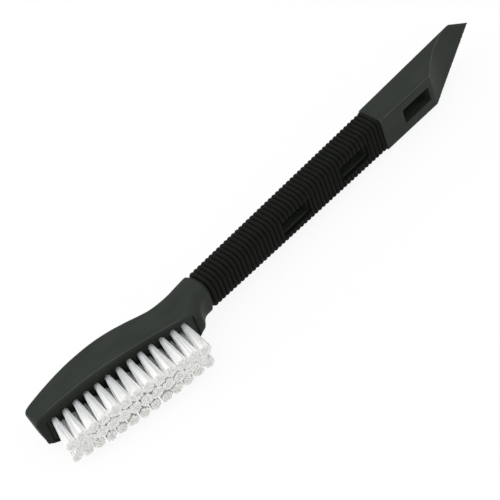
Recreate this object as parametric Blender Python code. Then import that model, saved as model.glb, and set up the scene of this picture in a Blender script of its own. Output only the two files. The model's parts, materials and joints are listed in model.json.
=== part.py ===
"""Hand brush with a scraper tip, in metres, +Z up.

One moulded handle carries everything: a head with a recessed face for the bristles, a core under the grip and
a scraper with a bevelled tip. A ribbed rubber sleeve sits on the core, and 38 bristle tufts, each folded over
its metal anchor, are driven into blind holes in the head.

The brush lies on its far side. +X runs from the head to the scraper, +Y is the back and -Y the bristle side.
The origin lies on the scraper's flat far side. Inside the handle's own frame X is zero where the grip ends
and the scraper starts, and Y and Z are zero on the grip's middle line.
"""

import math

import bmesh
import bpy
from mathutils import Matrix, Vector

# Gaps and how far a cutter reaches past what it cuts
FIT_GAP = 0.0003
CUTTER_OVERRUN = 0.004

# Where the origin lies, measured from the end of the grip toward the scraper's tip
ORIGIN_FROM_GRIP = 0.015

# Grip, a rounded box that changes from a deep section at the head to a wide one at the scraper
RIB_PITCH = 0.0022
RIB_COUNT = 47
RIB_DEPTH = 0.0008
SLEEVE_WALL = 0.0012
GRIP_HEAD_HALF_HEIGHT = 0.0068
GRIP_HEAD_HALF_WIDTH = 0.0079
GRIP_HEAD_CORNER = 0.0050
GRIP_TAIL_HALF_HEIGHT = 0.0060
GRIP_TAIL_HALF_WIDTH = 0.0091
GRIP_TAIL_CORNER = 0.0025
CORE_HEAD_CORNER = 0.0030
CORE_TAIL_CORNER = 0.0012

# Cored pockets, open on the bristle side; the places are measured from the end of the grip
POCKET_LENGTH = 0.0160
POCKET_WIDTH = 0.0074
POCKET_CORNER = 0.0006
POCKET_FLOOR_PAST_MIDDLE = 0.0022
HEAD_POCKET_PLACE = 0.0536
TAIL_POCKET_PLACE = 0.0180
SCRAPER_POCKET_PLACE = 0.0204

# Scraper: a rounded bar, cut to a point in plan and ground down to a thin blade by a hollow bevel
SCRAPER_LENGTH = 0.0680
SCRAPER_HALF_WIDTH = 0.0085
SCRAPER_BACK_AT_GRIP = 0.0065
SCRAPER_BACK_AT_TIP = 0.0081
SCRAPER_FRONT_AT_GRIP = 0.0065
SCRAPER_FRONT_AT_BEVEL = 0.0066
SCRAPER_CORNER_AT_GRIP = 0.0012
SCRAPER_CORNER_AT_TIP = 0.0007
BEVEL_START = 0.0304
BLADE_THICKNESS = 0.0008
TIP_NEAR_SETBACK = 0.0101
TIP_POINT_TO_NEAR_SIDE = 0.0007
# The bevel's near edge: how far along it, against how far down the scraper's depth it has come
BEVEL_NEAR_EDGE_SHARES = (
    (0.00, 0.00),
    (0.20, 0.31),
    (0.34, 0.51),
    (0.45, 0.64),
    (0.56, 0.74),
    (0.66, 0.83),
    (0.76, 0.92),
    (0.84, 0.97),
    (0.92, 0.99),
    (1.00, 1.00),
)

# Head and neck, from the collar's corner to the nose
COLLAR_CHAMFER_LENGTH = 0.0034
COLLAR_CHAMFER_DROP = 0.0009
HEAD_LENGTH = 0.0856
HEAD_HALF_WIDTH = 0.0105
HEAD_BACK_HEIGHT = 0.0120
HEAD_EDGE_RADIUS = 0.0026
NOSE_EDGE_DROP = 0.0016
NECK_CORNER = 0.0046
# How far the rim's plane lies from the middle line where the head starts, and how it rises toward the back
RIM_DEPTH_AT_NECK = 0.0137
RIM_SLOPE_SHARE = 0.162
RECESS_DEPTH = 0.0007
HEAD_RING_SHARES = (
    0.000, 0.020, 0.036, 0.048, 0.058, 0.068, 0.078, 0.090, 0.104, 0.118, 0.135, 0.158, 0.197,
    0.236, 0.286, 0.335, 0.385, 0.445, 0.515, 0.590, 0.670, 0.750, 0.820, 0.880, 0.925, 0.950,
    0.963, 0.973, 0.985, 0.994, 1.000,
)
# Each curve below is read at those places: a place along the head, then a share of the named size
BACK_SHARES = (
    (0.00, 0.555), (0.05, 0.500), (0.11, 0.425), (0.17, 0.388), (0.23, 0.385), (0.285, 0.460),
    (0.355, 0.615), (0.445, 0.795), (0.54, 0.920), (0.65, 0.985), (0.74, 1.000), (0.83, 0.985),
    (0.89, 0.955), (0.935, 0.925), (0.950, 0.910), (0.963, 0.870), (0.973, 0.770), (0.985, 0.550),
    (0.994, 0.360), (1.000, 0.220),
)
WIDTH_SHARES = (
    (0.000, 0.752), (0.050, 0.735), (0.110, 0.735), (0.170, 0.765), (0.230, 0.820), (0.285, 0.880),
    (0.355, 0.935), (0.445, 0.980), (0.540, 1.000), (0.650, 0.990), (0.740, 0.952), (0.820, 0.895),
    (0.880, 0.850), (0.925, 0.810), (0.950, 0.780), (0.963, 0.740), (0.973, 0.675), (0.985, 0.550),
    (0.994, 0.400), (1.000, 0.240),
)
BACK_CORNER_SHARES = (
    (0.00, 0.85), (0.05, 0.66), (0.11, 0.48), (0.17, 0.36), (0.23, 0.28), (0.35, 0.22), (0.92, 0.22),
    (0.95, 0.30), (0.973, 0.50), (0.985, 0.40), (1.00, 0.15),
)
# Zero is the neck's own underside and one is the rim
HEEL_SHARES = (
    (0.000, 0.00), (0.011, 0.02), (0.034, 0.12), (0.058, 0.38), (0.077, 0.72), (0.091, 0.95), (0.105, 1.00),
)
# Zero is the rim's own edge radius and one is the neck's corner
HEEL_CORNER_SHARES = (
    (0.000, 1.00), (0.048, 1.20), (0.091, 1.35), (0.105, 1.20), (0.120, 0.80), (0.137, 0.30), (0.160, 0.00),
)
NOSE_DROP_SHARES = ((0.935, 0.00), (0.963, 0.20), (0.985, 0.55), (1.000, 1.00))
# The rim's edge is crisp at the heel, widens to a round band and closes in again at the nose
EDGE_SHARES = (
    (0.12, 0.25), (0.20, 0.25), (0.28, 0.35), (0.36, 0.48), (0.48, 0.70), (0.58, 0.95), (0.66, 1.10),
    (0.90, 1.10), (0.963, 0.85), (0.985, 0.55), (1.00, 0.25),
)

# Bristle field: two bulging outer rows and a straight middle row, staggered by half a pitch
OUTER_ROW_TUFTS = 13
COLLAR_TO_TUFTS = 0.0160
TUFTS_TO_NOSE = 0.0073
ROW_OFFSET_AT_ENDS = 0.0036
ROW_OFFSET_AT_MIDDLE = 0.0054
# The recess's edge, measured from the tufts' own edges
RECESS_MARGIN_AT_SIDE = 0.0019
RECESS_MARGIN_AT_HEEL = 0.0039
RECESS_MARGIN_AT_NOSE = 0.0024
RECESS_CORNER = 0.0010
RECESS_SIDE_STEPS = 12

# One tuft
TUFT_RADIUS = 0.00135
STRANDS_PER_TUFT = 8
STRAND_GAP = 0.00012
PLUG_DEPTH = 0.0042
ANCHOR_DEPTH = 0.0012
ANCHOR_LENGTH_SHARE = 0.86
ANCHOR_THICKNESS_SHARE = 0.22
TUFT_COLLAR_HEIGHT = 0.0004
STRAND_LENGTH_AT_NOSE = 0.0158
STRAND_LENGTH_AT_HEEL = 0.0176
STRAND_UNEVENNESS = 0.0009
TIP_GAP = 0.0002
TIP_SIZE_SHARE = 1.25
UNEVEN_TURN_PER_STRAND = math.radians(137)
UNEVEN_TURN_PER_TUFT = math.radians(97)
LEAN_AT_NOSE = math.radians(9.0)
LEAN_AT_HEEL = math.radians(5.0)

CORNER_STEPS = 4
SLEEVE_CORNER_STEPS = 3
SHARP_ANGLE = math.radians(30)

GRIP_LENGTH = RIB_PITCH * RIB_COUNT
COLLAR_PLACE = -(GRIP_LENGTH + COLLAR_CHAMFER_LENGTH)
SLEEVE_AND_GAP = RIB_DEPTH + SLEEVE_WALL + FIT_GAP
TUFT_PITCH = (HEAD_LENGTH - COLLAR_TO_TUFTS - TUFTS_TO_NOSE) / (OUTER_ROW_TUFTS - 1)
ROW_MIDDLE = COLLAR_PLACE - (HEAD_LENGTH + COLLAR_TO_TUFTS - TUFTS_TO_NOSE) / 2
ROW_HALF_LENGTH = TUFT_PITCH * (OUTER_ROW_TUFTS - 1) / 2
# Tufts side by side in a row or across two staggered rows keep clear of each other at their tips
TUFT_SPACING = min(TUFT_PITCH, math.hypot(TUFT_PITCH / 2, ROW_OFFSET_AT_ENDS))
TIP_REACH = (TUFT_SPACING - TIP_GAP) / 2


def between(start, end, share):
    return start + (end - start) * share


def read_curve(points, place):
    """The value at a place on a smooth curve through the points, flat past its ends."""
    if place <= points[0][0]:
        return points[0][1]
    if place >= points[-1][0]:
        return points[-1][1]
    after = next(i for i, (at, _) in enumerate(points) if at > place)
    low, high = after - 1, after

    def slope(i):
        first, last = max(i - 1, 0), min(i + 1, len(points) - 1)
        return (points[last][1] - points[first][1]) / (points[last][0] - points[first][0])

    width = points[high][0] - points[low][0]
    t = (place - points[low][0]) / width
    start, end = points[low][1], points[high][1]
    return (
        start * (2 * t**3 - 3 * t**2 + 1)
        + width * slope(low) * (t**3 - 2 * t**2 + t)
        + end * (3 * t**2 - 2 * t**3)
        + width * slope(high) * (t**3 - t**2)
    )


def section(x, back, front, half_width, back_corner, front_corner, steps):
    """A closed ring across the handle: a box with one corner radius at its back and one at its front."""
    corners = (
        (back - back_corner, half_width - back_corner, back_corner, 0),
        (-front + front_corner, half_width - front_corner, front_corner, 1),
        (-front + front_corner, -half_width + front_corner, front_corner, 2),
        (back - back_corner, -half_width + back_corner, back_corner, 3),
    )
    ring = []
    for y, z, radius, quarter in corners:
        for step in range(steps + 1):
            angle = (quarter + step / steps) * math.pi / 2
            ring.append(Vector((x, y + radius * math.cos(angle), z + radius * math.sin(angle))))
    return ring


def loft(name, rings, collection):
    """A closed solid through rings that have the same number of points."""
    bm = bmesh.new()
    rows = [[bm.verts.new(point) for point in ring] for ring in rings]
    for row, following in zip(rows, rows[1:]):
        for i in range(len(row)):
            bm.faces.new((row[i - 1], row[i], following[i], following[i - 1]))
    bm.faces.new(rows[0])
    bm.faces.new(rows[-1])
    bmesh.ops.recalc_face_normals(bm, faces=bm.faces)
    return finish(name, bm, collection)


def finish(name, bm, collection):
    mesh = bpy.data.meshes.new(name)
    bm.to_mesh(mesh)
    bm.free()
    obj = bpy.data.objects.new(name, mesh)
    collection.objects.link(obj)
    return obj


def cut(obj, cutter):
    boolean = obj.modifiers.new("cut_" + cutter.name, "BOOLEAN")
    boolean.operation = "DIFFERENCE"
    boolean.solver = "EXACT"
    boolean.object = cutter


def shade_round(obj):
    obj.data.shade_smooth()
    obj.data.set_sharp_from_angle(angle=SHARP_ANGLE)


def material(name, colour, roughness):
    made = bpy.data.materials.new(name)
    made.use_nodes = True
    shader = made.node_tree.nodes["Principled BSDF"]
    shader.inputs["Base Color"].default_value = (*colour, 1.0)
    shader.inputs["Roughness"].default_value = roughness
    shader.inputs["Metallic"].default_value = 0.0
    return made


def handle_material():
    return material("grey_green_polypropylene", (0.042, 0.047, 0.042), 0.45)


def sleeve_material():
    return material("black_rubber", (0.011, 0.012, 0.010), 0.62)


def bristle_material():
    return material("white_nylon", (0.75, 0.75, 0.73), 0.40)


def grip_section(x, inset, head_corner, tail_corner, steps):
    """The grip's rounded box at one place, drawn in by an inset, with corner radii of its own."""
    share = -x / GRIP_LENGTH
    half_height = between(GRIP_TAIL_HALF_HEIGHT, GRIP_HEAD_HALF_HEIGHT, share) - inset
    half_width = between(GRIP_TAIL_HALF_WIDTH, GRIP_HEAD_HALF_WIDTH, share) - inset
    corner = between(tail_corner, head_corner, share)
    return section(x, half_height, half_height, half_width, corner, corner, steps)


def core_section(x, growth):
    """The core under the sleeve, or with a growth of the fitting gap the sleeve's bore."""
    return grip_section(
        x,
        SLEEVE_AND_GAP - growth,
        CORE_HEAD_CORNER + growth,
        CORE_TAIL_CORNER + growth,
        CORNER_STEPS,
    )


def scraper_section(x):
    """The scraper's bar before it is cut to shape: it deepens toward the bevel."""
    share = x / SCRAPER_LENGTH
    back = between(SCRAPER_BACK_AT_GRIP, SCRAPER_BACK_AT_TIP, share)
    front = between(SCRAPER_FRONT_AT_GRIP, SCRAPER_FRONT_AT_BEVEL, x / BEVEL_START)
    corner = between(SCRAPER_CORNER_AT_GRIP, SCRAPER_CORNER_AT_TIP, share)
    return section(x, back, front, SCRAPER_HALF_WIDTH, corner, corner, CORNER_STEPS)


def rim_depth(x):
    """Distance of the rim's plane from the middle line, toward the bristles."""
    return RIM_DEPTH_AT_NECK + RIM_SLOPE_SHARE * (x - COLLAR_PLACE)


def head_section(share):
    x = COLLAR_PLACE - share * HEAD_LENGTH
    heel = read_curve(HEEL_SHARES, share)
    nose_drop = NOSE_EDGE_DROP * read_curve(NOSE_DROP_SHARES, share)
    front = between(GRIP_HEAD_HALF_HEIGHT, rim_depth(x), heel) - nose_drop
    rim_corner = HEAD_EDGE_RADIUS * read_curve(EDGE_SHARES, share)
    front_corner = between(rim_corner, NECK_CORNER, read_curve(HEEL_CORNER_SHARES, share))
    return section(
        x,
        HEAD_BACK_HEIGHT * read_curve(BACK_SHARES, share),
        front,
        HEAD_HALF_WIDTH * read_curve(WIDTH_SHARES, share),
        NECK_CORNER * read_curve(BACK_CORNER_SHARES, share),
        front_corner,
        CORNER_STEPS,
    )


def collar_edge_section():
    """The collar's end face, drawn in from its corner by a chamfer."""
    return section(
        -GRIP_LENGTH,
        HEAD_BACK_HEIGHT * BACK_SHARES[0][1] - COLLAR_CHAMFER_DROP,
        GRIP_HEAD_HALF_HEIGHT - COLLAR_CHAMFER_DROP,
        HEAD_HALF_WIDTH * WIDTH_SHARES[0][1] - COLLAR_CHAMFER_DROP,
        NECK_CORNER,
        NECK_CORNER,
        CORNER_STEPS,
    )


def tip_cutter(collection):
    """Cuts the scraper's plan to a point: from the bevel's start on the far side, back to the near side."""
    point_z = TIP_POINT_TO_NEAR_SIDE
    far = Vector((BEVEL_START, -SCRAPER_HALF_WIDTH))
    point = Vector((SCRAPER_LENGTH, point_z))
    near = Vector((SCRAPER_LENGTH - TIP_NEAR_SETBACK, SCRAPER_HALF_WIDTH))
    before = far + (far - point).normalized() * CUTTER_OVERRUN
    past = near + (near - point).normalized() * CUTTER_OVERRUN
    outline = (
        before,
        point,
        past,
        Vector((SCRAPER_LENGTH + 2 * CUTTER_OVERRUN, past.y)),
        Vector((SCRAPER_LENGTH + 2 * CUTTER_OVERRUN, before.y)),
    )
    reach = SCRAPER_BACK_AT_TIP + SCRAPER_FRONT_AT_BEVEL
    rings = [[Vector((p.x, y, p.y)) for p in outline] for y in (reach, -reach)]
    return loft("tip_cutter", rings, collection)


def bevel_cutter(collection):
    """Cuts the hollow bevel: rulings run from its curved near edge to the straight edge on the far side."""
    drop = SCRAPER_FRONT_AT_BEVEL + SCRAPER_BACK_AT_TIP - BLADE_THICKNESS
    near_length = SCRAPER_LENGTH - TIP_NEAR_SETBACK - BEVEL_START
    far_start = Vector((BEVEL_START, -SCRAPER_FRONT_AT_BEVEL, -SCRAPER_HALF_WIDTH))
    far_end = Vector((SCRAPER_LENGTH, drop - SCRAPER_FRONT_AT_BEVEL, TIP_POINT_TO_NEAR_SIDE))
    outside = -SCRAPER_FRONT_AT_BEVEL - 3 * CUTTER_OVERRUN
    rings = []
    for along, down in BEVEL_NEAR_EDGE_SHARES:
        near = Vector(
            (BEVEL_START + near_length * along, drop * down - SCRAPER_FRONT_AT_BEVEL, SCRAPER_HALF_WIDTH)
        )
        far = far_start.lerp(far_end, along)
        reach = (near - far).normalized() * CUTTER_OVERRUN
        rings.append(ruling_ring(near + reach, far - reach, outside))
    slope = (far_end - far_start).normalized() * CUTTER_OVERRUN
    level = Vector((CUTTER_OVERRUN, 0, 0))
    rings.insert(0, [point - slope for point in rings[0]])
    rings.append([point + level for point in rings[-1]])
    return loft("bevel_cutter", rings, collection)


def ruling_ring(near, far, outside):
    return [near, far, Vector((far.x, outside, far.z)), Vector((near.x, outside, near.z))]


def pocket_cutter(name, place, floor, collection):
    """A box with rounded corners, from the pocket's floor out past the bristle side."""
    reach = GRIP_HEAD_HALF_HEIGHT + SCRAPER_FRONT_AT_BEVEL
    bm = bmesh.new()
    bmesh.ops.create_cube(bm, size=1.0)
    bmesh.ops.scale(bm, vec=(POCKET_LENGTH, floor + reach, POCKET_WIDTH), verts=bm.verts)
    bmesh.ops.translate(bm, vec=(place, (floor - reach) / 2, 0), verts=bm.verts)
    upright = [e for e in bm.edges if abs(e.verts[0].co.y - e.verts[1].co.y) > POCKET_CORNER]
    bmesh.ops.bevel(bm, geom=upright, offset=POCKET_CORNER, segments=2, profile=0.5, affect="EDGES")
    return finish(name, bm, collection)


def row_offset(x):
    """How far an outer row of tufts lies from the middle row: the rows bulge where the head is widest."""
    share = (x - ROW_MIDDLE) / ROW_HALF_LENGTH
    return between(ROW_OFFSET_AT_MIDDLE, ROW_OFFSET_AT_ENDS, share**2)


def floor_point(x, z):
    """A point on the recess's floor, which the tufts stand on."""
    return Vector((x, RECESS_DEPTH - rim_depth(x), z))


def floor_normal():
    """Square to the floor, out toward the bristles."""
    return Vector((-RIM_SLOPE_SHARE, -1, 0)).normalized()


def recess_half_width(x):
    return row_offset(x) + TUFT_RADIUS + RECESS_MARGIN_AT_SIDE - FIT_GAP


def recess_corner(x, start):
    """A rounded corner of the recess on its near side, from one angle through a quarter turn."""
    z = recess_half_width(x) - RECESS_CORNER
    turns = [start + step / CORNER_STEPS * math.pi / 2 for step in range(CORNER_STEPS + 1)]
    return [(x + RECESS_CORNER * math.cos(turn), z + RECESS_CORNER * math.sin(turn)) for turn in turns]


def recess_cutter(collection):
    """Bulging sides and straight ends with rounded corners, from the tufts' floor out past the rim."""
    heel = ROW_MIDDLE + ROW_HALF_LENGTH + TUFT_RADIUS + RECESS_MARGIN_AT_HEEL - RECESS_CORNER
    nose = ROW_MIDDLE - ROW_HALF_LENGTH - TUFT_RADIUS - RECESS_MARGIN_AT_NOSE + RECESS_CORNER
    places = [between(heel, nose, step / RECESS_SIDE_STEPS) for step in range(1, RECESS_SIDE_STEPS)]
    half = recess_corner(heel, 0) + [(x, recess_half_width(x)) for x in places]
    half += recess_corner(nose, math.pi / 2)
    outline = half + [(x, -z) for x, z in reversed(half)]
    floor_ring = [floor_point(x, z) for x, z in outline]
    outward = floor_normal() * (RECESS_DEPTH + CUTTER_OVERRUN)
    return loft("recess_cutter", [floor_ring, [point + outward for point in floor_ring]], collection)


def tuft_places():
    """The name and the foot of every tuft, row by row from the nose to the heel."""
    places = []
    for row, side in (("near", 1), ("mid", 0), ("far", -1)):
        count = OUTER_ROW_TUFTS if side else OUTER_ROW_TUFTS - 1
        for i in range(count):
            x = ROW_MIDDLE + TUFT_PITCH * (i - (count - 1) / 2)
            places.append((f"tuft_{row}_{i + 1:02d}", floor_point(x, side * row_offset(x))))
    return places


def tuft_axes():
    """Turns a tuft's own frame, Z out of the floor and X toward the nose, into the handle's."""
    outward = floor_normal()
    to_nose = Vector((outward.y, -outward.x, 0))
    return Matrix((to_nose, outward.cross(to_nose), outward)).transposed()


def holes_cutter(collection):
    """All the blind holes in one mesh: each takes a tuft's plug and its anchor with the fitting gap."""
    depth = PLUG_DEPTH + ANCHOR_DEPTH + FIT_GAP
    height = depth + RECESS_DEPTH
    axes = tuft_axes()
    bm = bmesh.new()
    for _, foot in tuft_places():
        centre = foot + floor_normal() * (height / 2 - depth)
        bmesh.ops.create_cone(
            bm,
            cap_ends=True,
            segments=STRANDS_PER_TUFT,
            radius1=TUFT_RADIUS + FIT_GAP,
            radius2=TUFT_RADIUS + FIT_GAP,
            depth=height,
            matrix=Matrix.Translation(centre) @ axes.to_4x4(),
        )
    return finish("holes_cutter", bm, collection)


def make_handle(parts, cutters):
    rings = [scraper_section(x) for x in (SCRAPER_LENGTH + CUTTER_OVERRUN, BEVEL_START, 0)]
    rings += [core_section(x, 0) for x in (0, -GRIP_LENGTH)]
    rings.append(collar_edge_section())
    rings += [head_section(share) for share in HEAD_RING_SHARES]
    handle = loft("handle_body", rings, parts)
    handle.data.materials.append(handle_material())
    shade_round(handle)
    cut(handle, tip_cutter(cutters))
    cut(handle, bevel_cutter(cutters))
    cut(handle, recess_cutter(cutters))
    cut(handle, holes_cutter(cutters))
    pockets = (
        ("core_pocket_head", -HEAD_POCKET_PLACE),
        ("core_pocket_tail", -TAIL_POCKET_PLACE),
        ("scraper_pocket", SCRAPER_POCKET_PLACE),
    )
    for name, place in pockets:
        cut(handle, pocket_cutter(name, place, POCKET_FLOOR_PAST_MIDDLE, cutters))
    return handle


def make_sleeve(parts, cutters):
    """The ribbed sleeve: a crest in the middle of each pitch, a plain bore and two windows."""
    rings = []
    for i in range(2 * RIB_COUNT + 1):
        inset = 0 if i % 2 else RIB_DEPTH
        x = -i * RIB_PITCH / 2
        if i == 0:
            x -= FIT_GAP
        if i == 2 * RIB_COUNT:
            x += FIT_GAP
        rings.append(
            grip_section(x, inset, GRIP_HEAD_CORNER - inset, GRIP_TAIL_CORNER - inset, SLEEVE_CORNER_STEPS)
        )
    sleeve = loft("grip_sleeve", rings, parts)
    sleeve.data.materials.append(sleeve_material())
    shade_round(sleeve)
    bore = loft(
        "bore_cutter",
        [core_section(x, FIT_GAP) for x in (CUTTER_OVERRUN, -GRIP_LENGTH - CUTTER_OVERRUN)],
        cutters,
    )
    cut(sleeve, bore)
    for name, place in (("window_head", -HEAD_POCKET_PLACE), ("window_tail", -TAIL_POCKET_PLACE)):
        cut(sleeve, pocket_cutter(name, place, 0, cutters))
    return sleeve


def tuft_mesh(order, nose_share):
    """A plug on its anchor, and strands that rise from the plug's top, lean to the nose and spread."""
    bm = bmesh.new()
    height = PLUG_DEPTH + TUFT_COLLAR_HEIGHT
    bmesh.ops.create_cone(
        bm,
        cap_ends=True,
        segments=STRANDS_PER_TUFT,
        radius1=TUFT_RADIUS,
        radius2=TUFT_RADIUS,
        depth=height,
        matrix=Matrix.Translation((0, 0, TUFT_COLLAR_HEIGHT - height / 2)),
    )
    bm.faces.ensure_lookup_table()
    bottom = min(bm.faces, key=lambda face: face.calc_center_median().z)
    top = max(bm.faces, key=lambda face: face.calc_center_median().z)
    add_anchor(bm, bottom)
    wedges = bmesh.ops.poke(bm, faces=[top])["faces"]
    bmesh.ops.inset_individual(bm, faces=wedges, thickness=STRAND_GAP, use_even_offset=True)
    length = between(STRAND_LENGTH_AT_HEEL, STRAND_LENGTH_AT_NOSE, nose_share)
    lean = math.tan(between(LEAN_AT_HEEL, LEAN_AT_NOSE, nose_share))
    tips = bmesh.ops.extrude_discrete_faces(bm, faces=wedges)["faces"]
    for i, tip in enumerate(tips):
        middle = tip.calc_center_median()
        turn = UNEVEN_TURN_PER_STRAND * i + UNEVEN_TURN_PER_TUFT * order
        rise = length + STRAND_UNEVENNESS * math.sin(turn)
        across = middle.normalized() * (TIP_REACH - TIP_SIZE_SHARE * (TUFT_RADIUS - middle.to_2d().length))
        target = Vector((across.x + rise * lean, across.y, middle.z + rise))
        for vert in tip.verts:
            vert.co = target + (vert.co - middle) * TIP_SIZE_SHARE
    mesh = bpy.data.meshes.new("tuft")
    bm.to_mesh(mesh)
    bm.free()
    return mesh


def add_anchor(bm, bottom):
    """The flat metal anchor under the fold, drawn down from the plug's end as a thin bar."""
    bmesh.ops.inset_region(bm, faces=[bottom], thickness=STRAND_GAP, use_even_offset=True)
    for vert in bottom.verts:
        vert.co.x *= ANCHOR_LENGTH_SHARE
        vert.co.y *= ANCHOR_THICKNESS_SHARE
    bar = bmesh.ops.extrude_discrete_faces(bm, faces=[bottom])["faces"]
    bmesh.ops.translate(bm, vec=(0, 0, -ANCHOR_DEPTH + FIT_GAP), verts=bar[0].verts)


def make_tufts(parts):
    white = bristle_material()
    axes = tuft_axes()
    tufts = []
    for order, (name, foot) in enumerate(tuft_places()):
        nose_share = (COLLAR_PLACE - foot.x) / HEAD_LENGTH
        tuft = bpy.data.objects.new(name, tuft_mesh(order, nose_share))
        tuft.data.materials.append(white)
        shade_round(tuft)
        tuft.location = foot
        tuft.rotation_euler = axes.to_euler()
        parts.objects.link(tuft)
        tufts.append(tuft)
    return tufts


def new_collection(name):
    made = bpy.data.collections.new(name)
    bpy.context.scene.collection.children.link(made)
    return made


def main():
    for obj in list(bpy.data.objects):
        bpy.data.objects.remove(obj, do_unlink=True)
    parts = new_collection("hand_brush_with_scraper")
    cutters = new_collection("cutters")
    frame = bpy.data.objects.new("brush_frame", None)
    frame.location = (-ORIGIN_FROM_GRIP, 0, SCRAPER_HALF_WIDTH)
    parts.objects.link(frame)
    pieces = [make_handle(parts, cutters), make_sleeve(parts, cutters)] + make_tufts(parts)
    for obj in pieces + list(cutters.objects):
        obj.parent = frame
    for cutter in cutters.objects:
        cutter.hide_render = True
        cutter.display_type = "WIRE"


main()
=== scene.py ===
"""Looks of the hand brush with scraper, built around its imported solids, in metres.

The handle, the ribbed sleeve and the bristle tufts are each replaced by a finer piece of the same size. +X
runs from the head to the scraper, +Y is the back and +Z points up from the side that the brush lies on. The
pieces are built around the point where the grip's middle line meets the scraper, then moved into place.
"""

import json
import math
import random

import bmesh
import bpy
from mathutils import Matrix, Vector

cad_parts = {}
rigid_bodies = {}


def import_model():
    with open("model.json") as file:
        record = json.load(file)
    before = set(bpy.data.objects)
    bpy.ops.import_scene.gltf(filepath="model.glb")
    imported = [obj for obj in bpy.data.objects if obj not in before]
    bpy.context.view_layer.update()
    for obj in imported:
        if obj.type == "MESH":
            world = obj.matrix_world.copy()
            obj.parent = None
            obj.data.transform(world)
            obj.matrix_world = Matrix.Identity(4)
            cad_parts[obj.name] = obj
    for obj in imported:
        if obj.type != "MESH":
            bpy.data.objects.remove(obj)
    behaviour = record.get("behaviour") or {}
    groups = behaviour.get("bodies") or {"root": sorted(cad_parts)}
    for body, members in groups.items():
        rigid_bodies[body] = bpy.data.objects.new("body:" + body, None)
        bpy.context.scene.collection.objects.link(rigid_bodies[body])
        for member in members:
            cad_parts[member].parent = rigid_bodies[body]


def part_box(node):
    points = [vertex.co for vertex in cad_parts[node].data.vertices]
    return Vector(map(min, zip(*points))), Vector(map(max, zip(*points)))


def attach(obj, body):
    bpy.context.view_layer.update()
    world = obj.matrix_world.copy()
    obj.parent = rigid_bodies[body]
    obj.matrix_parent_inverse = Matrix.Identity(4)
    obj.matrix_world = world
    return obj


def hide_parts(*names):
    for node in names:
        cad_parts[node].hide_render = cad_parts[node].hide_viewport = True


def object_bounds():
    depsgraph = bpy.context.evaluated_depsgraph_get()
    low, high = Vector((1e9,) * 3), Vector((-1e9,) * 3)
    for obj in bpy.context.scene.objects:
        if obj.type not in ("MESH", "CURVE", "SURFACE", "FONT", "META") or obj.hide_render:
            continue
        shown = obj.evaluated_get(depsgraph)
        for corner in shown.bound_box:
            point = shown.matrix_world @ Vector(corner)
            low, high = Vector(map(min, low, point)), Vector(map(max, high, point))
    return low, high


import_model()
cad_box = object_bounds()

MM = 0.001

# Sizes that the finer pieces share with the solids
FIT_GAP = 0.3 * MM
CUTTER_OVERRUN = 4.0 * MM
RIB_PITCH = 2.2 * MM
RIB_COUNT = 47
RIB_DEPTH = 0.8 * MM
SLEEVE_WALL = 1.2 * MM
GRIP_HEAD_HALF_HEIGHT = 6.8 * MM
GRIP_HEAD_HALF_WIDTH = 7.9 * MM
GRIP_HEAD_CORNER = 5.0 * MM
GRIP_TAIL_HALF_HEIGHT = 6.0 * MM
GRIP_TAIL_HALF_WIDTH = 9.1 * MM
GRIP_TAIL_CORNER = 2.5 * MM
CORE_HEAD_CORNER = 3.0 * MM
CORE_TAIL_CORNER = 1.2 * MM
POCKET_LENGTH = 16.0 * MM
POCKET_WIDTH = 7.4 * MM
POCKET_CORNER = 0.6 * MM
POCKET_FLOOR_PAST_MIDDLE = 2.2 * MM
HEAD_POCKET_PLACE = 53.6 * MM
TAIL_POCKET_PLACE = 18.0 * MM
SCRAPER_POCKET_PLACE = 20.4 * MM
SCRAPER_LENGTH = 68.0 * MM
SCRAPER_HALF_WIDTH = 8.5 * MM
SCRAPER_BACK_AT_GRIP = 6.5 * MM
SCRAPER_BACK_AT_TIP = 8.1 * MM
SCRAPER_FRONT_AT_GRIP = 6.5 * MM
SCRAPER_FRONT_AT_BEVEL = 6.6 * MM
SCRAPER_CORNER_AT_GRIP = 1.2 * MM
SCRAPER_CORNER_AT_TIP = 0.7 * MM
BEVEL_START = 30.4 * MM
BLADE_THICKNESS = 0.8 * MM
TIP_NEAR_SETBACK = 10.1 * MM
TIP_POINT_TO_NEAR_SIDE = 0.7 * MM
BEVEL_NEAR_EDGE_SHARES = (
    (0.00, 0.00),
    (0.20, 0.31),
    (0.34, 0.51),
    (0.45, 0.64),
    (0.56, 0.74),
    (0.66, 0.83),
    (0.76, 0.92),
    (0.84, 0.97),
    (0.92, 0.99),
    (1.00, 1.00),
)
COLLAR_CHAMFER_LENGTH = 3.4 * MM
COLLAR_CHAMFER_DROP = 1.5 * MM
COLLAR_EDGE_LENGTH = 1.2 * MM
HEAD_LENGTH = 85.6 * MM
HEAD_HALF_WIDTH = 10.5 * MM
HEAD_BACK_HEIGHT = 12.0 * MM
HEAD_EDGE_RADIUS = 2.6 * MM
NOSE_EDGE_DROP = 1.6 * MM
NECK_CORNER = 4.6 * MM
RIM_DEPTH_AT_NECK = 13.7 * MM
RIM_SLOPE_SHARE = 0.162
RECESS_DEPTH = 0.7 * MM
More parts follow.
